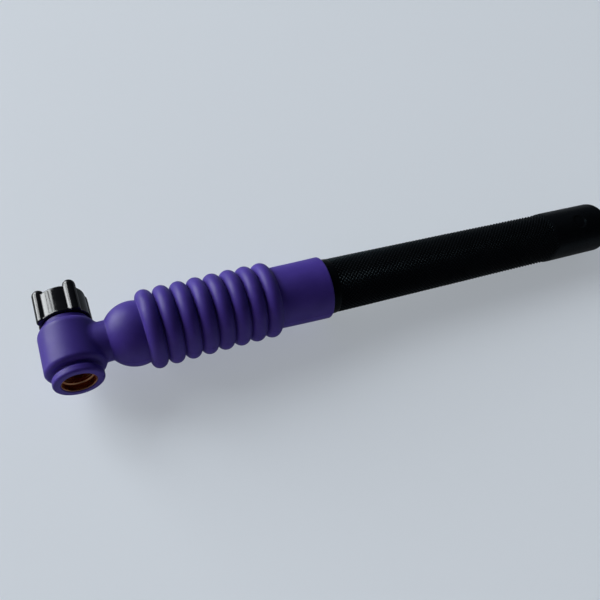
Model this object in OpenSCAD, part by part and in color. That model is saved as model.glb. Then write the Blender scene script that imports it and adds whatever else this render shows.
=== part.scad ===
// Air-cooled TIG torch body with a bendable neck and a short back cap.
// Millimetres, +Z up. The torch lies on its side: the handle runs along +X,
// the head's bore faces -Y and the back cap faces +Y, both turned by neck_set.
// The origin is where the head's barrel axis crosses the neck's centreline.

/* [Head] */
// Outside diameter of the head's jacket
barrel_d = 17.6; // [17.2:0.1:18.4]
// Barrel length in front of the neck axis, up to the front shoulder
barrel_front = 7.7; // [7.2:0.1:8.4]
// Barrel length behind the neck axis, up to the rear rim
barrel_rear = 7.2; // [6.6:0.1:7.6]
// Outside diameter of the front lip that a cup's gasket seats on
lip_d = 14.4; // [13.8:0.1:15]
// Distance from the neck axis to the front face of the lip
lip_front = 11.3; // [11:0.1:12]
// Wall diameter of the front thread, at the thread's major diameter
front_thread_d = 9.5; // [9:0.1:9.6]
// Wall diameter of the rear thread
rear_thread_d = 8.5; // [8.2:0.1:8.8]

/* [Back cap] */
// Diameter of the cap's thin flange
cap_flange_d = 15.2; // [15:0.1:16]
// Diameter of the cap's body between the lobes
cap_body_d = 14.4; // [13.8:0.1:14.8]
// Diameter of one grip lobe
lobe_d = 3.8; // [3.4:0.1:4.2]
// Number of grip lobes
lobe_count = 4; // [3:1:6]
// Height of the cap's round body, flange included
cap_grip_h = 9.8; // [9:0.1:12]
// How far a lobe's domed top stands above the body
lobe_rise = 2.1; // [1.9:0.1:3]

/* [Neck] */
// Largest diameter of a neck rib
rib_d = 25.4; // [24.8:0.1:26]
// Distance from one rib to the next
rib_pitch = 5.434; // [5.35:0.01:5.6]
// Width of one rib at its foot
rib_w = 3.9; // [3.4:0.1:3.9]
// Centre of the first rib, from the barrel axis
rib_first = 23.7; // [23.5:0.1:24.5]
// How far the neck is set over at rest, in degrees
neck_set = 2.7; // [0.5:0.1:5]
// Outside diameter of the soft copper neck tube
tube_d = 6.4; // [6:0.1:6.4]
// Wall of the neck tube
tube_wall = 1; // [0.8:0.1:1.2]

/* [Sleeve and handle] */
// Sleeve diameter next to the ribs
sleeve_d1 = 20.9; // [20.4:0.1:21.4]
// Sleeve diameter next to the handle
sleeve_d2 = 21.6; // [21.2:0.1:22]
// Length of the sleeve
sleeve_len = 17.6; // [16:0.1:20]
// Diameter of the handle over the knurl
handle_d = 19; // [18.6:0.1:19.4]
// Diameter of the handle's smooth rear end
handle_rear_d = 19.4; // [19:0.1:19.8]
// Length of the handle
handle_len = 121.9; // [115:0.1:130]
// Length of the smooth rear end
handle_rear_len = 26.7; // [20:0.1:30]
// Bore of the handle, for the power cable
handle_bore_d = 14; // [13:0.1:14.4]
// Wall diameter of the power cable thread
cable_thread_d = 9.5; // [9:0.1:9.6]

/* [Hidden] */
$fn = 96;
overlap = 0.01; // shared by parts that are joined
past = 1;       // how far a cut runs past the face it opens

silicone = "#4b3f86";
phenolic = "#131416";
brass = "#b08a4a";
copper = "#b4683f";
rubber = "#1b1b1d";

// Head, measured along the barrel axis from the neck axis
barrel_r = barrel_d / 2;
barrel_round = 1;
rear_taper_len = 2;
lip_r = lip_d / 2;
lip_round = 0.9;
lip_bore_r = 5.1;
collar_r = 6.9;
block_r = 5.6;
block_front = lip_front - 0.7;
block_rear = 9.1;
front_thread_depth = 6.9;
rear_thread_start = 3.4;
block_bore_r = 2.6;
port_bore_r = 1.6;

// Neck and bell of the head jacket: [radius, distance from the barrel axis]
bell_end = 20.2;
bell_profile = [
    [0, 2], [6.4, 2], [6.4, 10.8], [6.9, 11.5], [7.8, 12.4], [8.8, 13.6], [9.6, 15],
    [10.1, 16.6], [10.3, 18.4], [10.2, bell_end], [0, bell_end]];
bell_bore_start = 2;
bell_bore_step = 18; // where the bore widens to rib_bore_r

// Back cap
cap_z = 9.5;            // front face of the flange
cap_flange_h = 0.8;
cap_recess_r = 5.7;
cap_recess_depth = 0.7;
lobe_centre_r = 6.75;
lobe_lift = 0.15;       // foot of a lobe above the flange's front face
first_lobe_angle = -57.5;
insert_r = rear_thread_d / 2 - 0.06;
insert_shank_r = 3.6;
insert_bore_r = 2.1;
insert_front = 3.7;
insert_rear = cap_z + cap_grip_h - 2;
o_ring_r = 0.5;         // radius of the ring's section
o_ring_gap = 0.03;

// Ribs and bend. The arc reaches 0.6 of a pitch beyond the first and last ribs.
rib_count = 8;
rib_bore_r = 3.8;
arc_start = rib_first - 0.6 * rib_pitch;
arc_end = rib_first + (rib_count - 1 + 0.6) * rib_pitch;
arc_len = arc_end - arc_start;
arc_radius = arc_len / (neck_set * PI / 180);

// Copper tube. Its two end pieces stop tube_end_gap short of the outer grooves' centres.
tube_r = tube_d / 2;
tube_bore_r = tube_r - tube_wall;
tube_port = 3.2;
tube_stretch = 4.8;
tube_end_gap = 2.75;
tube_rear_start = groove_at(rib_count + 1) + tube_end_gap;
tube_rear_end = tube_rear_start + sleeve_len - 2;

// Sleeve and cable adapter, measured from the sleeve's start
sleeve_start = arc_end;
spigot_r = 7.8;
spigot_len = 14;
rib_bore_depth = 2;
adapter_r = 6;
adapter_start = 10.5;
adapter_end = 29.5;
cable_thread_end = 41.5;

// Handle
handle_start = sleeve_start + sleeve_len;
collar_len = 3;
handle_collar_r = handle_d / 2 + 0.1;
handle_grip_r = handle_d / 2 - 0.3;

// Centreline of the neck, by distance along it from the barrel axis: straight,
// then one arc through the ribs, then straight along +X through sleeve and handle.
function neck_angle(along) =
    along < arc_start ? neck_set
    : along > arc_end ? 0
    : neck_set * (1 - (along - arc_start) / arc_len);
function neck_x(along) =
    along < arc_start ? along * cos(neck_set)
    : along > arc_end ? neck_x(arc_end) + along - arc_end
    : arc_start * cos(neck_set) + arc_radius * (sin(neck_set) - sin(neck_angle(along)));
function neck_y(along) =
    along < arc_start ? along * sin(neck_set)
    : along > arc_end ? neck_y(arc_end)
    : arc_start * sin(neck_set) + arc_radius * (cos(neck_angle(along)) - cos(neck_set));

// Centres of rib i and of groove j, which lies in front of rib j
function rib_at(i) = rib_first + (i - 1) * rib_pitch;
function groove_at(j) = rib_at(j) - rib_pitch / 2;

// Place children on the neck's centreline, their +Z along it towards the handle.
module on_neck(along)
    translate([neck_x(along), neck_y(along), 0])
        rotate([0, 0, neck_angle(along)]) rotate([0, 90, 0]) children();

// Place children on the barrel axis, their +Z towards the back cap.
module on_head() rotate([0, 0, neck_set]) rotate([-90, 0, 0]) children();

// A round rod on the Z axis, between two heights.
module rod(from, to, radius) translate([0, 0, from]) cylinder(r = radius, h = to - from);

// Half profile of a disc with a rounded front edge; length excludes the rounding.
module round_front_profile(radius, front, rounding, length) {
    translate([0, -front + rounding]) square([radius, length]);
    translate([0, -front]) square([radius - rounding, rounding + overlap]);
    translate([radius - rounding, -front + rounding]) circle(r = rounding);
}

// A straight piece of the copper tube, between two distances along the neck.
module tube_piece(from, to) {
    half = (to - from) / 2;
    color(copper) on_neck((from + to) / 2) difference() {
        rod(-half, half, tube_r);
        rod(-half - past, half + past, tube_bore_r);
    }
}

// Half profile of the barrel, its front lip and its rear collar.
module barrel_profile() {
    taper_start = barrel_rear - rear_taper_len;
    round_front_profile(barrel_r, barrel_front, barrel_round,
        barrel_front - barrel_round + taper_start);
    polygon([
        [0, taper_start - overlap], [barrel_r, taper_start - overlap],
        [barrel_r - 0.25, barrel_rear - 0.8], [barrel_r - 0.8, barrel_rear], [0, barrel_rear]]);
    round_front_profile(lip_r, lip_front, lip_round, 1.4);
    // narrower waist between lip and barrel
    translate([0, -barrel_front - 2]) square([lip_r - 1, 2.1]);
    translate([0, barrel_rear - overlap]) square([collar_r, block_rear - barrel_rear]);
}

// Silicone barrel with its front lip, and a neck that flares into a bell before the first rib.
module head_jacket() color(silicone) difference() {
    union() {
        on_head() rotate_extrude() barrel_profile();
        on_neck(0) rotate_extrude() polygon(bell_profile);
    }
    // seat of the head block, open at both ends
    on_head() rod(-block_front, block_rear + past, block_r);
    on_head() rod(-lip_front - past, -lip_front + 2, lip_bore_r);
    // passage for the neck tube
    on_neck(0) rod(bell_bore_start, bell_bore_step + past, tube_r);
    on_neck(0) rod(bell_bore_step, bell_end + past, rib_bore_r);
}

// Metal body with the front thread, the collet passage, the rear thread and the tube's port.
module head_block() color(copper) difference() {
    on_head() rod(-block_front, block_rear, block_r);
    on_head() rod(-block_front - past, -block_front + front_thread_depth, front_thread_d / 2);
    on_head() rod(-block_front - past, block_rear + past, block_bore_r);
    on_head() rod(rear_thread_start, block_rear + past, rear_thread_d / 2);
    on_neck(0) rod(tube_port, block_r + past, tube_r);
    on_neck(0) rod(0, tube_port + past, port_bore_r);
}

// One grip lobe with a domed top, standing on z = 0.
module grip_lobe() {
    straight_h = cap_grip_h - lobe_lift + lobe_rise - lobe_d / 2;
    cylinder(d = lobe_d, h = straight_h);
    translate([0, 0, straight_h]) sphere(d = lobe_d);
}

// Moulded cap: thin flange, round body and a ring of grip lobes.
module back_cap() color(phenolic) on_head() difference() {
    union() {
        rod(cap_z, cap_z + cap_flange_h, cap_flange_d / 2);
        rod(cap_z, cap_z + cap_grip_h, cap_body_d / 2);
        for (i = [0:lobe_count - 1])
            rotate([0, 0, first_lobe_angle + i * 360 / lobe_count])
                translate([lobe_centre_r, 0, cap_z + lobe_lift]) grip_lobe();
    }
    rod(cap_z - past, insert_rear, insert_shank_r);
    rod(cap_z - past, cap_z + cap_recess_depth, cap_recess_r);
    // blind hole that goes on behind the insert's bore
    rod(cap_z - past, insert_rear + 1, insert_bore_r);
}

// Hollow brass screw moulded into the cap. It presses on the collet's tail.
module back_cap_insert() color(brass) on_head() difference() {
    union() {
        rod(insert_front, cap_z + cap_recess_depth, insert_r);
        rod(cap_z, insert_rear, insert_shank_r);
    }
    rod(insert_front - past, insert_rear + past, insert_bore_r);
}

// Sealing ring around the insert, in the recess under the cap's flange.
module back_cap_o_ring() color(rubber) on_head()
    translate([0, 0, block_rear + o_ring_gap + o_ring_r])
        rotate_extrude() translate([insert_r + o_ring_gap + o_ring_r, 0])
            circle(r = o_ring_r, $fn = 48);

// Front end of the copper tube, brazed into the head block.
module neck_tube_front() tube_piece(tube_port, groove_at(1) - tube_end_gap);

// One bending stretch of the copper tube, centred on groove j.
module neck_tube(j) tube_piece(groove_at(j) - tube_stretch / 2, groove_at(j) + tube_stretch / 2);

// Rear end of the copper tube, brazed into the cable adapter.
module neck_tube_rear() tube_piece(tube_rear_start, tube_rear_end);

// One rib of the silicone jacket, with a half-round rim.
module neck_rib(i) {
    rim_r = rib_d / 2 - rib_w / 2;
    color(silicone) on_neck(rib_at(i)) rotate_extrude() {
        translate([rib_bore_r, -rib_w / 2]) square([rim_r - rib_bore_r, rib_w]);
        intersection() {
            translate([rim_r, 0]) circle(r = rib_w / 2);
            translate([rim_r - overlap, -rib_w]) square([rib_w, 2 * rib_w]);
        }
    }
}

// Plain rear end of the jacket, with the spigot that the handle is pushed onto.
module jacket_sleeve() {
    spigot_end = sleeve_len + spigot_len;
    front_r = sleeve_d1 / 2;
    rear_r = sleeve_d2 / 2;
    color(silicone) on_neck(sleeve_start) difference() {
        rotate_extrude() polygon([
            [0, 0.3], [front_r + 0.9, 0.3], [front_r + 0.3, 0.9], [front_r, 1.8],
            [rear_r, sleeve_len - 0.5], [rear_r - 0.5, sleeve_len],
            [spigot_r, sleeve_len], [spigot_r, spigot_end], [0, spigot_end]]);
        rod(-past, adapter_start + past, tube_r);
        rod(-past, rib_bore_depth, rib_bore_r);
        rod(adapter_start, spigot_end + past, adapter_r);
    }
}

// Brass end piece: socket for the copper tube, collar and male thread for the power cable.
module cable_adapter() color(brass) on_neck(sleeve_start) difference() {
    union() {
        rod(adapter_start, adapter_end, adapter_r);
        rod(adapter_end - overlap, cable_thread_end, cable_thread_d / 2);
    }
    rod(adapter_start - past, tube_rear_end - sleeve_start, tube_r);
    rod(adapter_start - past, cable_thread_end + past, tube_bore_r);
}

// Handle tube: front collar, slimmer plain grip and a smooth, rounded rear end.
module handle() {
    rear_r = handle_rear_d / 2;
    rear_start = handle_len - handle_rear_len;
    bore_r = handle_bore_d / 2;
    socket_len = spigot_len + 0.5;
    color(phenolic) on_neck(handle_start) rotate_extrude() polygon([
        [spigot_r, 0.05], [handle_collar_r - 0.5, 0.05], [handle_collar_r, 0.5],
        [handle_collar_r, collar_len - 0.4], [handle_grip_r, collar_len],
        [handle_grip_r, rear_start - 0.4], [rear_r, rear_start],
        [rear_r, handle_len - 1.6], [rear_r - 0.45, handle_len - 0.5], [rear_r - 1.5, handle_len],
        [bore_r + 0.6, handle_len], [bore_r, handle_len - 0.6],
        [bore_r, socket_len], [spigot_r, socket_len]]);
}

head_jacket();
head_block();
back_cap();
back_cap_insert();
back_cap_o_ring();
neck_tube_front();
neck_tube(1);  // neck_tube_1
neck_tube(2);  // neck_tube_2
neck_tube(3);  // neck_tube_3
neck_tube(4);  // neck_tube_4
neck_tube(5);  // neck_tube_5
neck_tube(6);  // neck_tube_6
neck_tube(7);  // neck_tube_7
neck_tube(8);  // neck_tube_8
neck_tube(9);  // neck_tube_9
neck_tube_rear();
neck_rib(1);  // neck_rib_1
neck_rib(2);  // neck_rib_2
neck_rib(3);  // neck_rib_3
neck_rib(4);  // neck_rib_4
neck_rib(5);  // neck_rib_5
neck_rib(6);  // neck_rib_6
neck_rib(7);  // neck_rib_7
neck_rib(8);  // neck_rib_8
jacket_sleeve();
cable_adapter();
handle();
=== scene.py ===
"""TIG torch body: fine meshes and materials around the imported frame. Lengths in this file are millimetres until mm()."""

import bpy
import math
import numpy as np
from mathutils import Matrix, Vector


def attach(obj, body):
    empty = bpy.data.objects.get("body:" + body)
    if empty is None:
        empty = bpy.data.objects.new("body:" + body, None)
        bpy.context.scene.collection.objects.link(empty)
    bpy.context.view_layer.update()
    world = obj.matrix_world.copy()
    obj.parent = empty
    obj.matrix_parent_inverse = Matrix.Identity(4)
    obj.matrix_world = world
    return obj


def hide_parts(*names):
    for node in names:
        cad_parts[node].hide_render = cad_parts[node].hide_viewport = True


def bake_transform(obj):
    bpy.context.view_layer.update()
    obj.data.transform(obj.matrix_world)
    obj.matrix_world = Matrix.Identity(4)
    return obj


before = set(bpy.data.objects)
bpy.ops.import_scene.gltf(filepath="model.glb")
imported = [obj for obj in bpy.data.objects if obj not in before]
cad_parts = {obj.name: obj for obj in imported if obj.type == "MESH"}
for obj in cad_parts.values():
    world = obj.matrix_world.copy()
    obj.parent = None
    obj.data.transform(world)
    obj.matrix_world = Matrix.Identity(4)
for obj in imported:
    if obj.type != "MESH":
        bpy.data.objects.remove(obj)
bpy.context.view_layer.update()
MM = 0.001

# ---------------------------------------------------------------- sizes, the same rules as the CAD source
RIB_P, RIB_1, RIBS = 5.434, 23.7, 8
SET = math.radians(2.7)
U0 = RIB_1 - 0.6 * RIB_P
ARC = (RIBS + 0.2) * RIB_P
U1 = U0 + ARC
KA = ARC / SET
SLEEVE_U = RIB_1 + 7.6 * RIB_P
HANDLE_U = SLEEVE_U + 17.6
HANDLE_L = 121.9


def ang(u):
    u = np.asarray(u, float)
    return np.where(u < U0, SET, np.where(u > U1, 0.0, SET * (1 - (u - U0) / ARC)))


def cx(u):
    u = np.asarray(u, float)
    x1 = U0 * math.cos(SET) + KA * math.sin(SET)
    return np.where(u < U0, u * math.cos(SET), np.where(u > U1, x1 + (u - U1), U0 * math.cos(SET) + KA * (math.sin(SET) - np.sin(ang(u)))))


def cy(u):
    u = np.asarray(u, float)
    y1 = U0 * math.sin(SET) + KA * (1 - math.cos(SET))
    return np.where(u < U0, u * math.sin(SET), np.where(u > U1, y1, U0 * math.sin(SET) + KA * (np.cos(ang(u)) - math.cos(SET))))


def rib_u(i):
    return RIB_1 + (i - 1) * RIB_P


def groove_u(j):
    return RIB_1 + (j - 1.5) * RIB_P


HANDLE_Y = float(cy(U1))
CT, ST = math.cos(SET), math.sin(SET)


def head_to_world(p):
    """Head frame (X along the neck, L along the barrel towards the cap, Z) to the row frame."""
    out = np.empty_like(p)
    out[:, 0] = p[:, 0] * CT - p[:, 1] * ST
    out[:, 1] = p[:, 0] * ST + p[:, 1] * CT
    out[:, 2] = p[:, 2]
    return out


# ---------------------------------------------------------------- mesh helpers
def mesh_object(name, verts, faces, normals=None, material=None):
    """A smooth-shaded mesh from millimetre points, with exact normals where they are known."""
    me = bpy.data.meshes.new(name)
    me.from_pydata((np.asarray(verts) * MM).tolist(), [], faces if isinstance(faces, list) else faces.tolist())
    me.polygons.foreach_set("use_smooth", [True] * len(me.polygons))
    if material is not None:
        me.materials.append(material)
    me.update()
    if normals is not None:
        n = np.asarray(normals, float)
        n /= np.maximum(np.linalg.norm(n, axis=1, keepdims=True), 1e-12)
        me.normals_split_custom_set_from_vertices(n.tolist())
    ob = bpy.data.objects.new(name, me)
    bpy.context.scene.collection.objects.link(ob)
    return ob


def grid_faces(n, m, offset=0, flip=False, wrap_rows=False):
    """Quads of an n x m grid of points, the second index closed round."""
    rows = np.arange(n if wrap_rows else n - 1)
    i, j = np.meshgrid(rows, np.arange(m), indexing="ij")
    i2, j2 = (i + 1) % n, (j + 1) % m
    q = np.stack([i * m + j, i * m + j2, i2 * m + j2, i2 * m + j], -1).reshape(-1, 4) + offset
    return q[:, ::-1] if flip else q


def surface_nets(f, xs, ys, zs, relax=2):
    """Closed mesh of the zero set of f on a grid, pulled onto the surface, with the gradient as its normals."""
    X, Y, Z = np.meshgrid(xs, ys, zs, indexing="ij")
    F = f(X, Y, Z)
    neg = F < 0
    nx, ny, nz = F.shape
    count = np.zeros((nx - 1, ny - 1, nz - 1), np.int8)
    corners = [(a, b, c) for a in (0, 1) for b in (0, 1) for c in (0, 1)]
    for a, b, c in corners:
        count += neg[a:nx - 1 + a, b:ny - 1 + b, c:nz - 1 + c]
    active = (count > 0) & (count < 8)
    ids = np.full(active.shape, -1, np.int64)
    I, J, K = np.nonzero(active)
    ids[I, J, K] = np.arange(len(I))
    total = np.zeros((len(I), 3))
    hits = np.zeros(len(I))
    for a in corners:
        for axis in range(3):
            if a[axis]:
                continue
            b = list(a)
            b[axis] = 1
            fa = F[I + a[0], J + a[1], K + a[2]]
            fb = F[I + b[0], J + b[1], K + b[2]]
            cross = (fa < 0) != (fb < 0)
            t = np.where(cross, fa / np.where(cross, fa - fb, 1), 0)
            pa = np.stack([xs[I + a[0]], ys[J + a[1]], zs[K + a[2]]], -1)
            pb = np.stack([xs[I + b[0]], ys[J + b[1]], zs[K + b[2]]], -1)
            total += np.where(cross[:, None], pa + (pb - pa) * t[:, None], 0)
            hits += cross
    v = total / hits[:, None]
    faces = []
    s = (neg[:-1, :, :] != neg[1:, :, :])
    i, j, k = np.nonzero(s[:, 1:-1, 1:-1])
    j, k = j + 1, k + 1
    q = np.stack([ids[i, j - 1, k - 1], ids[i, j, k - 1], ids[i, j, k], ids[i, j - 1, k]], -1)
    faces.append(np.where(neg[i, j, k][:, None], q, q[:, ::-1]))
    s = (neg[:, :-1, :] != neg[:, 1:, :])
    i, j, k = np.nonzero(s[1:-1, :, 1:-1])
    i, k = i + 1, k + 1
    q = np.stack([ids[i - 1, j, k - 1], ids[i - 1, j, k], ids[i, j, k], ids[i, j, k - 1]], -1)
    faces.append(np.where(neg[i, j, k][:, None], q, q[:, ::-1]))
    s = (neg[:, :, :-1] != neg[:, :, 1:])
    i, j, k = np.nonzero(s[1:-1, 1:-1, :])
    i, j = i + 1, j + 1
    q = np.stack([ids[i - 1, j - 1, k], ids[i, j - 1, k], ids[i, j, k], ids[i - 1, j, k]], -1)
    faces.append(np.where(neg[i, j, k][:, None], q, q[:, ::-1]))
    faces = np.concatenate(faces)
    e = 0.01

    def grad(p):
        x, y, z = p.T
        g = np.stack([f(x + e, y, z) - f(x - e, y, z), f(x, y + e, z) - f(x, y - e, z), f(x, y, z + e) - f(x, y, z - e)], -1) / (2 * e)
        return g

    def project(p, steps):
        for _ in range(steps):
            g = grad(p)
            d = f(*p.T) / np.maximum((g * g).sum(1), 0.05)
            p = p - np.clip(d, -0.15, 0.15)[:, None] * g
        return p

    v = project(v, 3)
    for _ in range(relax):
        acc, cnt = np.zeros_like(v), np.zeros(len(v))
        for a, b in ((0, 1), (1, 2), (2, 3), (3, 0)):
            np.add.at(acc, faces[:, a], v[faces[:, b]])
            np.add.at(cnt, faces[:, a], 1)
            np.add.at(acc, faces[:, b], v[faces[:, a]])
            np.add.at(cnt, faces[:, b], 1)
        g = grad(v)
        g /= np.maximum(np.linalg.norm(g, axis=1, keepdims=True), 1e-9)
        d = acc / cnt[:, None] - v
        d -= (d * g).sum(1, keepdims=True) * g
        v = project(v + 0.5 * d, 2)
    return v, faces, grad(v)


def smin(a, b, k):
    h = np.clip(0.5 + 0.5 * (b - a) / k, 0, 1)
    return b + (a - b) * h - k * h * (1 - h)


def smax(a, b, k):
    return -smin(-a, -b, k)


def disc(rho, L, r, l0, l1, e):
    """Rounded cylinder from l0 to l1, edge radius e."""
    dx = rho - (r - e)
    dy = np.abs(L - (l0 + l1) / 2) - ((l1 - l0) / 2 - e)
    return np.sqrt(np.maximum(dx, 0) ** 2 + np.maximum(dy, 0) ** 2) + np.minimum(np.maximum(dx, dy), 0) - e


def swept_profile(name, pts, nrm, th, material, axis_u=None, modulate=None):
    """Closed ring whose section is the closed loop pts (u, r), revolved about the neck's centreline."""
    pts, nrm = np.asarray(pts, float), np.asarray(nrm, float)
    n, m = len(pts), len(th)
    u = np.repeat(pts[:, 0][:, None], m, 1)
    r = np.repeat(pts[:, 1][:, None], m, 1)
    T = np.repeat(th[None, :], n, 0)
    if modulate is not None:
        r = r + modulate(u, r, T, nrm)
    a = ang(u)
    c, s = np.cos(T), np.sin(T)
    P = np.stack([cx(u) - r * c * np.sin(a), cy(u) + r * c * np.cos(a), r * s], -1)
    nu = np.repeat(nrm[:, 0][:, None], m, 1)
    nr = np.repeat(nrm[:, 1][:, None], m, 1)
    if modulate is not None:
        e = 1e-3
        dr = (modulate(u, r, T + e, nrm) - modulate(u, r, T - e, nrm)) / (2 * e)
        nt = -dr / np.maximum(r, 1e-6) * nr
    else:
        nt = np.zeros_like(nr)
    N = np.stack([
        nu * np.cos(a) - (nr * c - nt * s) * np.sin(a),
        nu * np.sin(a) + (nr * c - nt * s) * np.cos(a),
        nr * s + nt * c], -1)
    faces = grid_faces(n, m, wrap_rows=True)
    return mesh_object(name, P.reshape(-1, 3), faces, N.reshape(-1, 3), material)


def circle_angles(m, dense=()):
    """m even angles, with extra ones close to the angles in dense."""
    th = set(np.round(np.arange(m) * 2 * math.pi / m, 9))
    for d in dense:
        th = {t for t in th if abs((t - d + math.pi) % (2 * math.pi) - math.pi) > 0.034}
        for o in (-0.03, -0.0225, -0.016, -0.011, -0.007, -0.0035, 0, 0.0035, 0.007, 0.011, 0.016, 0.0225, 0.03):
            th.add(round((d + o) % (2 * math.pi), 9))
    return np.array(sorted(th))


def smooth_by_angle(ob, deg):
    me = ob.data
    me.polygons.foreach_set("use_smooth", [True] * len(me.polygons))
    import bmesh
    bm = bmesh.new()
    bm.from_mesh(me)
    bmesh.ops.recalc_face_normals(bm, faces=bm.faces)
    lim = math.radians(deg)
    for e in bm.edges:
        if len(e.link_faces) == 2 and e.calc_face_angle(0.0) > lim:
            e.smooth = False
    bm.to_mesh(me)
    bm.free()


# ---------------------------------------------------------------- materials
def material(name):
    m = bpy.data.materials.new(name)
    m.use_nodes = True
    nt = m.node_tree
    for n in list(nt.nodes):
        nt.nodes.remove(n)
    out = nt.nodes.new("ShaderNodeOutputMaterial")
    bsdf = nt.nodes.new("ShaderNodeBsdfPrincipled")
    nt.links.new(bsdf.outputs["BSDF"], out.inputs["Surface"])
    return m, nt, bsdf, out


def node(nt, kind, **inputs):
    n = nt.nodes.new(kind)
    for k, v in inputs.items():
        key = k.replace("_", " ")
        if key in n.inputs:
            n.inputs[key].default_value = v
        else:
            setattr(n, k, v)
    return n


def noise(nt, scale, detail=3.0, rough=0.5, coord="Object"):
    tc = nt.nodes.new("ShaderNodeTexCoord")
    n = node(nt, "ShaderNodeTexNoise", Scale=scale, Detail=detail, Roughness=rough)
    nt.links.new(tc.outputs[coord], n.inputs["Vector"])
    return n


def ramp(nt, source, p0, c0, p1, c1):
    r = nt.nodes.new("ShaderNodeValToRGB")
    e = r.color_ramp.elements
    e[0].position, e[0].color = p0, c0
    e[1].position, e[1].color = p1, c1
    nt.links.new(source, r.inputs["Fac"])
    return r


def bump(nt, bsdf, source, strength, distance, chain=None):
    b = node(nt, "ShaderNodeBump", Strength=strength, Distance=distance)
    nt.links.new(source, b.inputs["Height"])
    if chain is not None:
        nt.links.new(chain.outputs["Normal"], b.inputs["Normal"])
    nt.links.new(b.outputs["Normal"], bsdf.inputs["Normal"])
    return b


def rgba(r, g, b):
    return (r, g, b, 1.0)


# Purple silicone: satin, very slightly mottled, a little dust bloom at grazing angles.
SILICONE, nt, bs, _ = material("silicone_jacket")
big = noise(nt, 130.0, 3.0, 0.55)
col = ramp(nt, big.outputs["Fac"], 0.36, rgba(0.053, 0.029, 0.250), 0.64, rgba(0.063, 0.035, 0.288))
speck = noise(nt, 2600.0, 2.0, 0.6)
dust = ramp(nt, speck.outputs["Fac"], 0.70, rgba(0, 0, 0), 0.78, rgba(1, 1, 1))
mix = node(nt, "ShaderNodeMix", data_type="RGBA")
dustamt = node(nt, "ShaderNodeMath", operation="MULTIPLY")
dustamt.inputs[1].default_value = 0.22
nt.links.new(dust.outputs["Color"], dustamt.inputs[0])
nt.links.new(dustamt.outputs[0], mix.inputs["Factor"])
nt.links.new(col.outputs["Color"], mix.inputs[6])
mix.inputs[7].default_value = rgba(0.30, 0.28, 0.50)
nt.links.new(mix.outputs[2], bs.inputs["Base Color"])
mid = noise(nt, 420.0, 4.0, 0.6)
rr = ramp(nt, mid.outputs["Fac"], 0.3, rgba(0.45, 0.45, 0.45), 0.7, rgba(0.56, 0.56, 0.56))
nt.links.new(rr.outputs["Color"], bs.inputs["Roughness"])
bs.inputs["Specular IOR Level"].default_value = 0.24
bs.inputs["Coat Weight"].default_value = 0.06
bs.inputs["Coat Roughness"].default_value = 0.28
bs.inputs["Sheen Weight"].default_value = 0.05
bs.inputs["Sheen Roughness"].default_value = 0.45
bs.inputs["Sheen Tint"].default_value = rgba(0.75, 0.72, 1.0)
bs.inputs["Subsurface Weight"].default_value = 0.10
bs.inputs["Subsurface Radius"].default_value = (0.5, 0.35, 1.0)
bs.inputs["Subsurface Scale"].default_value = 0.0008
fine = noise(nt, 3400.0, 3.0, 0.6)
b1 = bump(nt, bs, fine.outputs["Fac"], 0.12, 0.00004)
bump(nt, bs, mid.outputs["Fac"], 0.25, 0.00008, b1)

# Glossy black phenolic of the cap.
PHENOLIC, nt, bs, _ = material("cap_moulding")
n1 = noise(nt, 260.0, 4.0, 0.55)
c1 = ramp(nt, n1.outputs["Fac"], 0.35, rgba(0.0016, 0.0017, 0.0022), 0.65, rgba(0.0030, 0.0032, 0.0040))
nt.links.new(c1.outputs["Color"], bs.inputs["Base Color"])
r1 = ramp(nt, n1.outputs["Fac"], 0.3, rgba(0.10, 0.10, 0.10), 0.7, rgba(0.17, 0.17, 0.17))
nt.links.new(r1.outputs["Color"], bs.inputs["Roughness"])
bs.inputs["Specular IOR Level"].default_value = 0.50
bs.inputs["Coat Weight"].default_value = 0.12
bs.inputs["Coat Roughness"].default_value = 0.04
n2 = noise(nt, 900.0, 2.0, 0.5)
bump(nt, bs, n2.outputs["Fac"], 0.10, 0.00003)

# Black moulded plastic of the handle.
HANDLE, nt, bs, _ = material("handle_moulding")
n1 = noise(nt, 90.0, 4.0, 0.6)
c1 = ramp(nt, n1.outputs["Fac"], 0.35, rgba(0.0016, 0.0019, 0.0024), 0.65, rgba(0.0030, 0.0035, 0.0042))
nt.links.new(c1.outputs["Color"], bs.inputs["Base Color"])
n2 = noise(nt, 1500.0, 3.0, 0.6)
r1 = ramp(nt, n2.outputs["Fac"], 0.3, rgba(0.26, 0.26, 0.26), 0.7, rgba(0.36, 0.36, 0.36))
nt.links.new(r1.outputs["Color"], bs.inputs["Roughness"])
bs.inputs["Specular IOR Level"].default_value = 0.15
bs.inputs["Specular Tint"].default_value = rgba(0.58, 0.86, 1.0)
n3 = noise(nt, 4200.0, 3.0, 0.6)
bump(nt, bs, n3.outputs["Fac"], 0.18, 0.00003)


def metal(name, lo, hi, r_lo, r_hi, scale=900.0):
    m, nt, bs, _ = material(name)
    a = noise(nt, scale, 4.0, 0.6)
    c = ramp(nt, a.outputs["Fac"], 0.3, lo, 0.7, hi)
    nt.links.new(c.outputs["Color"], bs.inputs["Base Color"])
    r = ramp(nt, a.outputs["Fac"], 0.3, rgba(r_lo, r_lo, r_lo), 0.7, rgba(r_hi, r_hi, r_hi))
    nt.links.new(r.outputs["Color"], bs.inputs["Roughness"])
    bs.inputs["Metallic"].default_value = 1.0
    f = noise(nt, 3800.0, 2.0, 0.5)
    bump(nt, bs, f.outputs["Fac"], 0.15, 0.00003)
    return m


COPPER = metal("head_copper", rgba(0.86, 0.40, 0.20), rgba(0.94, 0.48, 0.25), 0.18, 0.28)
BRASS = metal("fitting_brass", rgba(0.58, 0.38, 0.13), rgba(0.76, 0.54, 0.22), 0.22, 0.38)
TUBE = metal("neck_copper", rgba(0.58, 0.24, 0.12), rgba(0.74, 0.36, 0.20), 0.25, 0.42)

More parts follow.
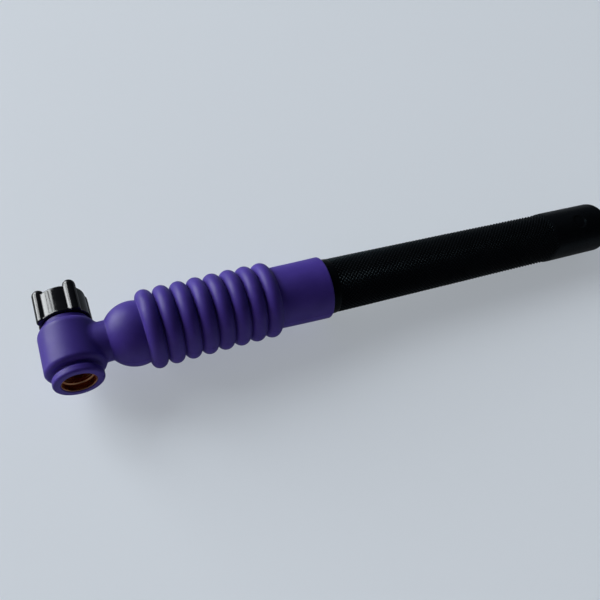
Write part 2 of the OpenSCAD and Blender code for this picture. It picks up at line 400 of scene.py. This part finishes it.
RUBBER, nt, bs, _ = material("seal_rubber")
n1 = noise(nt, 700.0, 3.0, 0.6)
c1 = ramp(nt, n1.outputs["Fac"], 0.3, rgba(0.010, 0.010, 0.011), 0.7, rgba(0.018, 0.018, 0.019))
nt.links.new(c1.outputs["Color"], bs.inputs["Base Color"])
bs.inputs["Roughness"].default_value = 0.55
n2 = noise(nt, 3000.0, 2.0, 0.5)
bump(nt, bs, n2.outputs["Fac"], 0.2, 0.00003)

# ---------------------------------------------------------------- silicone jacket: ribs, bell and sleeve
RIB_B, RIB_C, RIB_F = 2.66, 10.04, 0.10
JACKET_IN = 3.3


def arc_pts(c, r, a0, a1, n, sign=1.0):
    """Points (u, r) on a circle at angles measured from +r towards +u, and their normals, outward times sign."""
    a = np.linspace(a0, a1, n)
    d = np.stack([np.sin(a), np.cos(a)], -1)
    return np.array(c) + r * d, sign * d


def half_rib():
    """Crest to groove centre: offsets from the rib's centre, with normals."""
    h = RIB_P / 2
    dy = math.sqrt((RIB_B + RIB_F) ** 2 - h * h)
    phi = math.atan2(h, dy)
    p1, n1 = arc_pts((0, RIB_C), RIB_B, 0, phi, 17)
    a = np.linspace(phi, 0, 5)[1:]
    d = np.stack([np.sin(a), np.cos(a)], -1)
    p2 = np.array((h, RIB_C + dy)) - RIB_F * d
    return np.concatenate([p1, p2]), np.concatenate([n1, d])


HALF_P, HALF_N = half_rib()
PART_TH = (0.0, math.pi)
TH = circle_angles(168, PART_TH)


def parting(u, r, T, nrm):
    """A fine raised line where the two mould halves met, in the plane z = 0, on the outer skin only."""
    out = np.zeros_like(r)
    for t0 in PART_TH:
        d = ((T - t0 + math.pi) % (2 * math.pi) - math.pi) * np.maximum(r, 1e-6)
        out += 0.07 * np.exp(-((d / 0.10) ** 2))
    # slow, shallow unevenness of a soft moulding
    out += 0.018 * np.sin(3 * T + 0.21 * u) + 0.012 * np.sin(5 * T - 0.33 * u + 1.0)
    return np.where((r > 5.5) & (nrm[:, 1][:, None] > -0.9), out, 0.0)


def ring_loop(outer, outer_n, inner_r, steps=4):
    """Close an outer profile with end faces and a bore."""
    u_a, u_b = outer[0, 0], outer[-1, 0]
    ui = np.linspace(u_b, u_a, steps)
    inner = np.stack([ui, np.full(steps, inner_r)], -1)
    return np.concatenate([outer, inner]), np.concatenate([outer_n, np.tile([0.0, -1.0], (steps, 1))])


def skin(name, outer, outer_n, inner_r=JACKET_IN):
    p, n = ring_loop(outer, outer_n, inner_r)
    ob = swept_profile(name, p, n, TH, SILICONE, modulate=parting)
    sharpen_ends(ob, len(outer), len(p), len(TH))
    return ob


def sharpen_ends(ob, n_outer, n_all, m):
    """The flat end faces get their own flat normals; the skin keeps its exact ones."""
    me = ob.data
    loops = np.zeros(len(me.loops) * 3)
    me.corner_normals.foreach_get("vector", loops)
    loops = loops.reshape(-1, 3)
    poly_n = np.zeros(len(me.polygons) * 3)
    me.polygons.foreach_get("normal", poly_n)
    poly_n = poly_n.reshape(-1, 3)
    # rows of quads: row n_outer-1 is one end face, row n_all-1 the other
    for row in (n_outer - 1, n_all - 1):
        for k in range(row * m, (row + 1) * m):
            p = me.polygons[k]
            loops[p.loop_start:p.loop_start + p.loop_total] = poly_n[k]
    me.normals_split_custom_set(loops.tolist())


def crest_forward(i):
    """Rib i, from its crest to the groove behind it."""
    return HALF_P + np.array((rib_u(i), 0)), HALF_N


def crest_backward(i):
    """Rib i, from the groove in front of it to its crest."""
    p = HALF_P * np.array((-1, 1)) + np.array((rib_u(i), 0))
    n = HALF_N * np.array((-1, 1))
    return p[::-1], n[::-1]


def tangent_circle(c1, r1, c2, r2, side):
    """Centre of a circle at distances r1 and r2 from the centres c1 and c2, on the given side."""
    c1, c2 = np.array(c1, float), np.array(c2, float)
    d = np.linalg.norm(c2 - c1)
    a = (r1 * r1 - r2 * r2 + d * d) / (2 * d)
    h = math.sqrt(r1 * r1 - a * a)
    e = (c2 - c1) / d
    return c1 + a * e + side * h * np.array((-e[1], e[0]))


def direction(p, q):
    v = np.array(q, float) - np.array(p, float)
    return math.atan2(v[0], v[1])


# bell: fillet on the neck, one large arc, fillet into rib 1
BELL_C, BELL_R, NECK_R = (18.6, 0.55), 9.75, 6.4
F0 = 0.35
f0 = (BELL_C[0] - math.sqrt((BELL_R + F0) ** 2 - (NECK_R + F0 - BELL_C[1]) ** 2), NECK_R + F0)
F1 = 0.15
f1 = tangent_circle(BELL_C, BELL_R + F1, (rib_u(1), RIB_C), RIB_B + F1, 1)
a_start = direction(BELL_C, f0)
a_end = direction(BELL_C, f1)


def concave(c, r, d0, d1, n):
    """Fillet arc: d0 and d1 are the directions, from +r towards +u, in which the solid's normal points."""
    a = np.linspace(d0, d1, n)
    d = np.stack([np.sin(a), np.cos(a)], -1)
    return np.array(c) - r * d, d


pieces = []
lead = np.array([[9.9, NECK_R + 0.004]])
p0, n0 = concave(f0, F0, 0.0, a_start, 6)
p1, n1 = arc_pts(BELL_C, BELL_R, a_start, a_end, 34)
rib1_dir = direction((rib_u(1), RIB_C), f1)
g1 = groove_u(1)
# fillet between the bell and rib 1, then rib 1's flank, cut at the groove plane
pf, nf = concave(f1, F1, a_end, rib1_dir, 13)
pr, nr_ = arc_pts((rib_u(1), RIB_C), RIB_B, rib1_dir, 0.0, 18)
whole = np.concatenate([lead, p0, p1[1:], pf[1:], pr[1:]])
whole_n = np.concatenate([[[0.0, 1.0]], n0, n1[1:], nf[1:], nr_[1:]])


def split_at(p, n, u):
    k = int(np.argmax(p[:, 0] > u))
    t = (u - p[k - 1, 0]) / (p[k, 0] - p[k - 1, 0])
    q = p[k - 1] + t * (p[k] - p[k - 1])
    qn = n[k - 1] + t * (n[k] - n[k - 1])
    return (np.concatenate([p[:k], [q]]), np.concatenate([n[:k], [qn]]),
            np.concatenate([[q], p[k:]]), np.concatenate([[qn], n[k:]]))


bell_p, bell_n, rib1_p, rib1_n = split_at(whole, whole_n, g1)
bell = skin("jacket_bell", bell_p, bell_n)
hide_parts("head_jacket")
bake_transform(bell)
pieces.append(bell)

# sleeve: fillet from rib 8, then a slightly tapered tube with a rounded rear edge
F9, SL_R1, SL_R2 = 0.75, 10.45, 10.8
f9_dy = SL_R1 + F9 - RIB_C
f9 = (rib_u(8) + math.sqrt((RIB_B + F9) ** 2 - f9_dy ** 2), SL_R1 + F9)
rib8_dir = direction((rib_u(8), RIB_C), f9)
q0, m0 = arc_pts((rib_u(8), RIB_C), RIB_B, 0.0, rib8_dir, 18)
q1, m1 = concave(f9, F9, rib8_dir, 0.0, 10)
tail_u = np.linspace(f9[0], HANDLE_U - 0.55, 12)[1:]
tail = np.stack([tail_u, SL_R1 + (tail_u - f9[0]) / (HANDLE_U - f9[0]) * (SL_R2 - SL_R1)], -1)
slope = (SL_R2 - SL_R1) / (HANDLE_U - f9[0])
tail_n = np.tile([-slope, 1.0], (len(tail), 1))
edge, edge_n = arc_pts((HANDLE_U - 0.55, SL_R2 - 0.55), 0.55, 0.0, math.pi / 2, 8)
whole2 = np.concatenate([q0, q1[1:], tail, edge[1:]])
whole2_n = np.concatenate([m0, m1[1:], tail_n, edge_n[1:]])
g9 = groove_u(9)
rib8_p, rib8_n, sl_p, sl_n = split_at(whole2, whole2_n, g9)

for i in range(1, RIBS + 1):
    if i == 1:
        p, n = rib1_p, rib1_n
    else:
        p, n = crest_backward(i)
    a = skin(f"neck_rib_{i}_front", p, n)
    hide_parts(f"neck_rib_{i}")
    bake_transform(a)
    if i == RIBS:
        p, n = rib8_p, rib8_n
    else:
        p, n = crest_forward(i)
    b = skin(f"neck_rib_{i}_rear", p, n)
    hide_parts(f"neck_rib_{i}")
    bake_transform(b)

# the sleeve's closed section: skin, rear face, spigot inside the handle, seat of the adapter, bore
spig_u = HANDLE_U + 14.0
loop = np.concatenate([sl_p, [[HANDLE_U, 7.8], [HANDLE_U + 0.02, 7.8], [spig_u - 0.5, 7.8], [spig_u, 7.3], [spig_u, 6.02],
                              [SLEEVE_U + 10.5, 6.02], [SLEEVE_U + 10.48, 6.0], [SLEEVE_U + 10.48, JACKET_IN], [g9, JACKET_IN]]])
loop_n = np.concatenate([sl_n, [[1.0, 0.0], [0.0, 1.0], [0.0, 1.0], [0.7, 0.7], [0.0, -1.0],
                                [0.0, -1.0], [1.0, 0.0], [0.0, -1.0], [0.0, -1.0]]])
sleeve = swept_profile("jacket_sleeve_skin", loop, loop_n, TH, SILICONE, modulate=parting)
sharpen_ends(sleeve, len(sl_p), len(loop), len(TH))
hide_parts("jacket_sleeve")
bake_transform(sleeve)

# ---------------------------------------------------------------- head: barrel, lip, waist, neck stub
RIM_C, RIM_R = (5.64, 5.1), 3.16


def head_sdf(X, L, Z):
    rho = np.sqrt(X * X + Z * Z)
    rf = 1.5
    dx = rho - (8.8 - rf)
    dy = -L - (7.7 - rf)
    front = np.sqrt(np.maximum(dx, 0) ** 2 + np.maximum(dy, 0) ** 2) + np.minimum(np.maximum(dx, dy), 0) - rf
    dx = rho - RIM_C[0]
    dy = L - RIM_C[1]
    rear = np.sqrt(np.maximum(dx, 0) ** 2 + np.maximum(dy, 0) ** 2) + np.minimum(np.maximum(dx, dy), 0) - RIM_R
    barrel = np.where(L < -1.0, front, rear)
    barrel = smax(barrel, L - 7.2, 0.16)
    neck = np.maximum(np.sqrt(L * L + Z * Z) - NECK_R, X - 11.2)
    neck = np.maximum(neck, -X)
    body = smin(barrel, neck, 0.9)
    collar = disc(rho, L, 6.9, 2.0, 9.2, 0.25)
    body = smin(body, collar, 0.25)
    waist = disc(rho, L, 6.25, -10.2, -4.0, 0.3)
    lip = disc(rho, L, 7.3, -11.45, -8.85, 0.75)
    body = smin(body, smin(waist, lip, 0.35), 0.35)
    # parting line and the small nicks it leaves on the lip
    skin_only = np.clip((rho - 5.9) / 0.3, 0, 1)
    body = body - 0.05 * skin_only * np.exp(-((Z / 0.11) ** 2))
    nick = np.sqrt(((np.abs(X) - 6.95) / 0.55) ** 2 + (Z / 0.20) ** 2 + ((L + 11.25) / 0.45) ** 2) - 1
    body = smax(body, -nick * 0.2, 0.08)
    bore = np.maximum(rho - 5.6, np.maximum(-L - 10.6, L - 12.0))
    mouth = smax(rho - 5.1, L + 10.0, 0.05)
    body = smax(body, -mouth, 0.22)
    body = np.maximum(body, -bore)
    port = np.maximum(np.sqrt(L * L + Z * Z) - 3.2, 2.0 - X)
    return np.maximum(body, -port)


def spaced(lo, hi, h, fine=None):
    """Grid line positions, with finer ones where |x| is small when fine is given."""
    if fine is None:
        return np.linspace(lo, hi, int(round((hi - lo) / h)) + 1)
    band, hf = fine
    mid_ = np.arange(-band, band + hf / 2, hf)
    a = np.linspace(lo, -band, int(round((-band - lo) / h)) + 1)[:-1]
    b = np.linspace(band, hi, int(round((hi - band) / h)) + 1)[1:]
    return np.concatenate([a, mid_, b])


v, f, g = surface_nets(head_sdf, spaced(-9.41, 11.63, 0.19), spaced(-11.83, 9.64, 0.19), spaced(-9.37, 9.37, 0.19, (0.33, 0.066)))
head = mesh_object("head_jacket_skin", head_to_world(v), f, head_to_world(g), SILICONE)
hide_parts("head_jacket")
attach(head, "head")

# ---------------------------------------------------------------- back cap
CAP_Z = 9.5
LOBE_ANG = [math.radians(57.5 + 90 * i) for i in range(4)]


def cap_sdf(X, L, Z):
    rho = np.sqrt(X * X + Z * Z)
    flange = disc(rho, L, 7.6, CAP_Z, CAP_Z + 0.8, 0.38)
    body = disc(rho, L, 7.2, CAP_Z + 0.1, CAP_Z + 9.8, 0.7)
    out = smin(flange, body, 0.2)
    dish = 17.0 - np.sqrt(rho * rho + (L - (CAP_Z + 9.8 + 16.55)) ** 2)
    out = smax(out, dish, 0.5)
    for a in LOBE_ANG:
        px_, pz_ = 6.75 * math.cos(a), 6.75 * math.sin(a)
        dl = np.maximum(L - (21.4 - 1.9), 0)
        lobe = np.sqrt((X - px_) ** 2 + (Z - pz_) ** 2 + dl * dl) - 1.9
        out = smin(out, smax(lobe, CAP_Z - L, 0.4), 0.3)
    seat = np.maximum(rho - 5.7, L - (CAP_Z + 0.7))
    shank = np.maximum(rho - 3.61, L - (CAP_Z + 7.82))
    vent = np.maximum(rho - 2.1, L - (CAP_Z + 8.7))
    return np.maximum(out, -np.minimum(np.minimum(seat, shank), vent))


v, f, g = surface_nets(cap_sdf, spaced(-8.91, 8.91, 0.135), spaced(9.31, 21.73, 0.135), spaced(-8.91, 8.91, 0.135))
cap = mesh_object("back_cap_shell", head_to_world(v), f, head_to_world(g), PHENOLIC)
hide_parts("back_cap")
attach(cap, "cap")


# ---------------------------------------------------------------- threads
def thread(name, frame_fn, r_root, r_crest, l0, l1, pitch, body, mat, turns_seg=72, flat=0.12):
    """A helical ridge from r_root to r_crest between l0 and l1; it fades in and out at its ends."""
    n = int((l1 - l0) / pitch * turns_seg)
    t = np.linspace(0, 1, n)
    l = l0 + (l1 - l0) * t
    a = 2 * math.pi * (l - l0) / pitch
    fade = np.clip(np.minimum(t, 1 - t) * (l1 - l0) / pitch * 2.2, 0.02, 1)
    half = pitch * 0.47
    s = 1 if r_crest > r_root else -1
    prof = [(-half, -s * 0.06), (-half, 0.0), (-flat * pitch, 1.0), (flat * pitch, 1.0), (half, 0.0), (half, -s * 0.06)]
    P = np.empty((n, len(prof), 3))
    for q, (dl, h) in enumerate(prof):
        if q in (0, 5):
            r = np.full(n, r_root - s * 0.08)
        else:
            r = r_root + (r_crest - r_root) * h * fade
        P[:, q, 0] = r * np.cos(a)
        P[:, q, 1] = l + dl * (fade if q in (1, 2, 3, 4) else 1)
        P[:, q, 2] = r * np.sin(a)
    m = len(prof)
    faces = grid_faces(n, m).tolist()
    first = list(range(m))
    last = [(n - 1) * m + k for k in range(m)]
    faces.append(first[::-1])
    faces.append(last)
    verts = frame_fn(P.reshape(-1, 3))
    ob = mesh_object(name, verts, faces, None, mat)
    me = ob.data
    import bmesh
    bm = bmesh.new()
    bm.from_mesh(me)
    bmesh.ops.recalc_face_normals(bm, faces=bm.faces)
    bm.to_mesh(me)
    bm.free()
    me.polygons.foreach_set("use_smooth", [False] * len(me.polygons))
    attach(ob, body)
    return ob


def to_adapter(p):
    """Thread frame (L along +X from the adapter's shoulder) to the row frame."""
    out = np.empty_like(p)
    out[:, 0] = SLEEVE_X + p[:, 1]
    out[:, 1] = HANDLE_Y + p[:, 0]
    out[:, 2] = p[:, 2]
    return out


SLEEVE_X = float(cx(SLEEVE_U))
thread("front_thread_crests", head_to_world, 4.75, 4.28, -9.3, -4.0, 0.79375, "head", COPPER)


def lathe(name, frame_fn, loop, body, mat, m=128, radius=None, deg=30):
    """Closed ring whose section is the loop of (l, r) points about the L axis; radius(l, r, theta) may shape it."""
    loop = np.asarray(loop, float)
    th = np.arange(m) * 2 * math.pi / m
    l = np.repeat(loop[:, 0][:, None], m, 1)
    r = np.repeat(loop[:, 1][:, None], m, 1)
    T = np.repeat(th[None, :], len(loop), 0)
    if radius is not None:
        r = radius(l, r, T)
    P = np.stack([r * np.cos(T), l, r * np.sin(T)], -1).reshape(-1, 3)
    ob = mesh_object(name, frame_fn(P), grid_faces(len(loop), m, wrap_rows=True), None, mat)
    smooth_by_angle(ob, deg)
    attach(ob, body)
    return ob


lathe("front_thread_nose", head_to_world, [(-10.61, 5.07), (-11.0, 5.07), (-11.14, 5.02), (-11.2, 4.94), (-11.17, 4.85), (-11.0, 4.74), (-10.61, 4.73)],
      "head", COPPER)


def screw(l, r, T):
    """A 60 degree thread on the insert's lower end, with the same pitch as the cap's joint."""
    x = (l / 0.79375 - T / (2 * math.pi)) % 1.0
    tri = 1 - np.abs(2 * x - 1)
    h = np.clip(tri * 1.25 - 0.12, 0, 1)
    run = np.clip((l - 3.9) / 0.6, 0, 1) * np.clip((9.3 - l) / 0.5, 0, 1)
    return np.where(r > 4.0, r - 0.40 * (1 - h) * run, r)


ins = [(3.7, 2.15), (3.7, 3.75), (3.78, 4.02)] + [(x, 4.18) for x in np.arange(3.9, 9.42, 0.066)] + [(9.46, 4.18), (10.18, 4.18), (10.2, 4.12), (10.2, 3.58), (12.8, 3.58), (17.1, 3.58), (17.3, 3.4), (17.3, 2.15), (10.0, 2.15)]
insert = lathe("back_cap_screw", head_to_world, ins, "cap", BRASS, m=120, radius=screw, deg=24)
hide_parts("back_cap_insert")
thread("cable_thread_crests", to_adapter, 4.75, 4.79, 30.0, 41.0, 0.9, "root", BRASS)

# ---------------------------------------------------------------- handle
N_AROUND, PITCH_S = 42, 1.4
SUB = 6
HX = float(cx(HANDLE_U))


def handle_mesh():
    """Outer skin with a cut diamond knurl; straight collar in front, smooth rounded end behind, bore inside."""
    m = N_AROUND * SUB
    th = np.arange(m) * 2 * math.pi / m
    ds = PITCH_S / SUB
    s0 = 3.0
    n_k = int(round((98.6 - s0) / ds))
    s_kn = s0 + ds * np.arange(n_k + 1)
    front = [(0.05, 7.85), (0.05, 9.05), (0.09, 9.28), (0.22, 9.47), (0.42, 9.58), (0.66, 9.60), (1.2, 9.60), (1.8, 9.60), (2.2, 9.60), (2.45, 9.585), (2.65, 9.54), (2.8, 9.48)]
    rear_s = np.concatenate([np.linspace(s_kn[-1] + 0.4, HANDLE_L - 2.4, 60), []])
    er = 2.0
    ea = np.linspace(0, math.pi / 2, 9)
    rear = [(s, 9.7) for s in rear_s] + [(HANDLE_L - er + er * math.sin(a), 9.7 - er + er * math.cos(a)) for a in ea]
    inner = [(HANDLE_L, 7.62), (HANDLE_L - 0.12, 7.36), (HANDLE_L - 0.35, 7.12), (HANDLE_L - 0.7, 7.0), (HANDLE_L - 3, 7.0), (90.0, 7.0), (60.0, 7.0), (30.0, 7.0), (14.55, 7.0), (14.5, 7.02), (14.5, 7.8), (14.45, 7.82), (8.0, 7.82), (0.4, 7.82)]
    prof = [(s, r, 0) for s, r in front] + [(s, 9.5, 1) for s in s_kn] + [(s, r, 2) for s, r in rear] + [(s, r, 3) for s, r in inner]
    n = len(prof)
    S = np.array([p[0] for p in prof])[:, None] * np.ones((1, m))
    R = np.array([p[1] for p in prof])[:, None] * np.ones((1, m))
    kind = np.array([p[2] for p in prof])
    T = th[None, :] * np.ones((n, 1))
    k = (S - s0) / PITCH_S
    a = k + T * N_AROUND / (2 * math.pi)
    b = k - T * N_AROUND / (2 * math.pi)
    tri = lambda x: 1 - np.abs(2 * (x - np.floor(x)) - 1)
    h = np.minimum(tri(a), tri(b))
    h = np.minimum(h, 0.80) / 0.80
    # the cut fades unevenly where it runs out behind, and starts abruptly at the collar
    run = 93.9 + 0.35 * np.sin(3 * T + 0.7) + 0.22 * np.sin(7 * T + 2.1)
    fade = np.clip((run + 1.9 - S) / 1.9, 0, 1)
    start = np.clip((S - 2.9) / 0.35, 0, 1)
    depth = 0.40
    wear = 0.02 * np.sin(2 * T + 0.05 * S) * np.sin(0.11 * S)
    base = np.where(S > run, 9.5 + 0.2 * np.clip((S - run) / 2.2, 0, 1) ** 0.8, 9.5)
    Rk = base - depth * (1 - h) * fade * start + wear * fade
    R = np.where(kind[:, None] == 1, Rk, R)
    R = np.where(kind[:, None] == 2, np.where(S < 100, np.minimum(9.7, 9.5 + 0.2 * np.clip((S - run) / 2.2, 0, 1) ** 0.8), R), R)
    P = np.stack([HX + S, HANDLE_Y + R * np.cos(T), R * np.sin(T)], -1)
    return P, kind, n, m


P, kind, n, m = handle_mesh()


def recess(P):
    """A shallow round dimple on the smooth rear end."""
    cxp, ang_p, rad, dep = HX + 108.0, math.radians(103), 2.9, 0.45
    y, z = P[..., 1] - HANDLE_Y, P[..., 2]
    r = np.sqrt(y * y + z * z)
    arc = (np.arctan2(z, y) - ang_p) * 9.7
    d = np.sqrt((P[..., 0] - cxp) ** 2 + arc ** 2)
    w = np.clip((rad - d) / 0.5, 0, 1)
    w = w * w * (3 - 2 * w) * (r > 9.2)
    f_ = 1 - dep * w / np.maximum(r, 1e-6)
    Q = P.copy()
    Q[..., 1] = HANDLE_Y + y * f_
    Q[..., 2] = z * f_
    return Q


P = recess(P)


def handle_faces(n, m, kind):
    """Quads, but over the knurl each is cut along the diagonal that follows the cut lines."""
    out = []
    j = np.arange(m)
    j2 = (j + 1) % m
    first_k = int(np.argmax(kind == 1))
    for i in range(n):
        i2 = (i + 1) % n
        a, b, c, d = i * m + j, i * m + j2, i2 * m + j2, i2 * m + j
        if kind[i] == 1 and kind[i2] == 1:
            ki = i - first_k
            # cell centre in units of the pitch decides which family of lines runs through the cell
            u_ = (ki + 0.5) / SUB
            v_ = (j + 0.5) / SUB
            fa = np.abs((u_ + v_) % 1.0 - 0.0)
            fa = np.minimum(fa, 1 - fa)
            fb = np.abs((u_ - v_) % 1.0)
            fb = np.minimum(fb, 1 - fb)
            # lines of family a run where s and theta change in opposite senses
            along_a = fa < fb
            t1 = np.where(along_a[:, None], np.stack([a, b, d], -1), np.stack([a, b, c], -1))
            t2 = np.where(along_a[:, None], np.stack([b, c, d], -1), np.stack([a, c, d], -1))
            out.extend(t1.tolist())
            out.extend(t2.tolist())
        else:
            out.extend(np.stack([a, b, c, d], -1).tolist())
    return out


hf = handle_faces(n, m, kind)
handle = mesh_object("handle_grip", P.reshape(-1, 3), hf, None, HANDLE)


smooth_by_angle(handle, 24)
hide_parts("handle")
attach(handle, "root")

# ---------------------------------------------------------------- soft copper tube, in one run through the neck
TUBE_TH = circle_angles(64)


def tube_piece(name, ua, ub, ends, nodes, steps=7):
    u = np.linspace(ua, ub, steps)
    outer = np.stack([u, np.full(steps, 3.2)], -1)
    p, n_ = ring_loop(outer, np.tile([0.0, 1.0], (steps, 1)), 2.2, steps)
    ob = swept_profile(name, p, n_, TUBE_TH, TUBE)
    sharpen_ends(ob, steps, len(p), len(TUBE_TH))
    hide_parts(*nodes)
    if len(ends) == 1:
        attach(ob, ends[0])
    else:
        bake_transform(ob)
    return ob


tube_piece("neck_tube_front_run", 3.25, 18.2, ["head"], ["neck_tube_front"])
for j in range(1, RIBS + 2):
    ahead = "head" if j == 1 else f"neck_ring_{j - 1}"
    behind = "root" if j == RIBS + 1 else f"neck_ring_{j}"
    ua = 18.2 if j == 1 else rib_u(j - 1)
    ub = 67.2 if j == RIBS + 1 else rib_u(j)
    tube_piece(f"neck_tube_{j}_front", ua, groove_u(j), [ahead, f"neck_bend_{j}"], [f"neck_tube_{j}"])
    tube_piece(f"neck_tube_{j}_rear", groove_u(j), ub, [f"neck_bend_{j}", behind], [f"neck_tube_{j}"])
tube_piece("neck_tube_rear_run", 67.2, groove_u(9) + 2.75 + 15.5, ["root"], ["neck_tube_rear"])

# ---------------------------------------------------------------- CAD nodes that stay
for name, mat in (("head_block", COPPER), ("cable_adapter", BRASS), ("back_cap_o_ring", RUBBER)):
    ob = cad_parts[name]
    if not ob.material_slots:
        ob.data.materials.append(mat)
    for s in ob.material_slots:
        s.material = mat

# ---------------------------------------------------------------- floor, light, camera
FLOOR_TILT = (12.7 - 9.7) / (204.4 - 61.7)


def floor_z(x):
    return -12.76 + FLOOR_TILT * (x - 61.7)


fm, nt, bs, out = material("studio_floor")
n1 = noise(nt, 3.0, 3.0, 0.5)
c1 = ramp(nt, n1.outputs["Fac"], 0.2, rgba(0.45, 0.475, 0.51), 0.8, rgba(0.47, 0.495, 0.53))
# in reflections the floor is dimmer, as in the crushed dark tones of a contrasty picture
path = nt.nodes.new("ShaderNodeLightPath")
dim = nt.nodes.new("ShaderNodeMix")
dim.data_type = "RGBA"
nt.links.new(path.outputs["Is Glossy Ray"], dim.inputs[0])
nt.links.new(c1.outputs["Color"], dim.inputs[6])
dim.inputs[7].default_value = rgba(0.12, 0.132, 0.148)
nt.links.new(dim.outputs[2], bs.inputs["Base Color"])
glow = nt.nodes.new("ShaderNodeMath")
glow.operation = "MULTIPLY_ADD"
nt.links.new(path.outputs["Is Glossy Ray"], glow.inputs[0])
glow.inputs[1].default_value = -0.27
glow.inputs[2].default_value = 0.35
nt.links.new(glow.outputs[0], bs.inputs["Emission Strength"])
bs.inputs["Roughness"].default_value = 0.7
bs.inputs["Specular IOR Level"].default_value = 0.15
bs.inputs["Emission Color"].default_value = rgba(0.86, 0.93, 1.0)
geo = nt.nodes.new("ShaderNodeNewGeometry")
clear = nt.nodes.new("ShaderNodeBsdfTransparent")
ms = nt.nodes.new("ShaderNodeMixShader")
nt.links.new(geo.outputs["Backfacing"], ms.inputs[0])
nt.links.new(bs.outputs["BSDF"], ms.inputs[1])
nt.links.new(clear.outputs["BSDF"], ms.inputs[2])
nt.links.new(ms.outputs[0], out.inputs["Surface"])
E = 3200.0
fv = [(-E, -E, floor_z(-E)), (E, -E, floor_z(E)), (E, E, floor_z(E)), (-E, E, floor_z(-E))]
floor = mesh_object("floor", np.array(fv), [[0, 1, 2, 3]], None, fm)

# the floor sinks with the lowest part of a bent neck, so it never cuts through the torch
probes = [("head", 0.0, -11.0, 7.4), ("head", 0.0, 7.0, 8.9), ("head", 0.0, 20.5, 8.8), ("head", 18.0, 0.0, 10.4)]
probes += [(f"neck_ring_{i}", rib_u(i), 0.0, 12.74) for i in (1, 3, 5, 7)]
drv = floor.driver_add("location", 2).driver
drv.type = "SCRIPTED"
terms = ["0"]
for k, (body, u_, l_, rad) in enumerate(probes):
    e_ = bpy.data.objects.new(f"floor_probe_{k}", None)
    e_.empty_display_size = 0.001
    bpy.context.scene.collection.objects.link(e_)
    q = head_to_world(np.array([[u_, l_, 0.0]]))[0] if body == "head" else np.array([float(cx(u_)), float(cy(u_)), 0.0])
    e_.location = Vector(q) * MM
    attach(e_, body)
    var = drv.variables.new()
    var.name = f"p{k}"
    var.type = "TRANSFORMS"
    var.targets[0].id = e_
    var.targets[0].transform_type = "LOC_Z"
    var.targets[0].transform_space = "WORLD_SPACE"
    terms.append(f"p{k}-{(rad + floor_z(q[0])) * MM + 0.0:.6f}")
drv.expression = "min(" + ",".join(terms) + ")"

w = bpy.data.worlds.new("studio")
bpy.context.scene.world = w
w.use_nodes = True
wn = w.node_tree
bg = wn.nodes["Background"]
tc = wn.nodes.new("ShaderNodeTexCoord")
dot = wn.nodes.new("ShaderNodeVectorMath")
dot.operation = "DOT_PRODUCT"
dot.inputs[1].default_value = (-0.60, 0.62, 0.50)
wn.links.new(tc.outputs["Generated"], dot.inputs[0])
cr = wn.nodes.new("ShaderNodeValToRGB")
cr.color_ramp.elements[0].position, cr.color_ramp.elements[0].color = 0.0, (0.020, 0.023, 0.030, 1)
cr.color_ramp.elements[1].position, cr.color_ramp.elements[1].color = 1.0, (0.085, 0.095, 0.115, 1)
wn.links.new(dot.outputs["Value"], cr.inputs["Fac"])
wn.links.new(cr.outputs["Color"], bg.inputs["Color"])
bg.inputs["Strength"].default_value = 1.0


def area(name, loc, target, sx, sy, power, color=(1, 1, 1), glossy=True):
    d = bpy.data.lights.new(name, "AREA")
    d.shape = "RECTANGLE"
    d.size, d.size_y = sx, sy
    d.energy = power
    d.color = color
    o = bpy.data.objects.new(name, d)
    o.visible_glossy = glossy
    o.location = loc
    o.rotation_euler = (Vector(target) - Vector(loc)).to_track_quat("-Z", "Y").to_euler()
    bpy.context.scene.collection.objects.link(o)
    return o


# a window of four panes behind and to the left of the torch, from just above the floor to 42 degrees
W_DIR = Vector((-0.655, 0.64, 0.395)).normalized()
W_SIDE = W_DIR.cross(Vector((0, 0, 1))).normalized()
W_UP = W_SIDE.cross(W_DIR).normalized()
W_D, W_W, W_H, W_BAR = 4.0, 1.50, 1.32, 0.18
for k, (sx, sy) in enumerate(((-1, -1), (1, -1), (-1, 1), (1, 1))):
    at = W_DIR * W_D + W_SIDE * sx * (W_W + W_BAR) / 2 + W_UP * sy * (W_H + W_BAR) / 2
    area(f"window_pane_{k}", at, at - W_DIR, W_W, W_H, 58.0, (0.94, 0.98, 1.0))
# dim walls to the right and left, and a faint one in front of the torch
area("right_wall", (0.80 * 3.0, 0.56 * 3.0, 0.75), (0.0, 0.0, 0.0), 1.4, 0.9, 3.2, (0.86, 0.94, 1.0), False)
area("front_wall", (-0.9, -2.9, 0.55), (0.0, 0.0, 0.0), 2.4, 0.9, 5.0, (1.0, 0.86, 0.90), False)
area("left_wall", (-2.85, -1.35, 0.75), (0.0, 0.0, 0.0), 1.5, 1.0, 8.0, (1.0, 0.70, 0.62), False)

cam_d = bpy.data.cameras.new("camera")
cam_d.sensor_width = 36.0
cam_d.sensor_fit = "HORIZONTAL"
cam_d.lens = 32.855
cam_d.clip_start = 0.005
cam_d.clip_end = 20.0
cam = bpy.data.objects.new("camera", cam_d)
bpy.context.scene.collection.objects.link(cam)
right = Vector((0.92655, -0.34859, 0.14139)).normalized()
fwd = Vector((0.30915, 0.49149, -0.81417)).normalized()
down = fwd.cross(right).normalized()
up = -down
R3 = Matrix((right, up, -fwd)).transposed()
cam.matrix_world = Matrix.Translation(Vector((15.696, -92.185, 151.302)) * MM) @ R3.to_4x4()
bpy.context.scene.camera = cam
bpy.context.scene.view_settings.view_transform = "Standard"
bpy.context.scene.view_settings.look = "None"
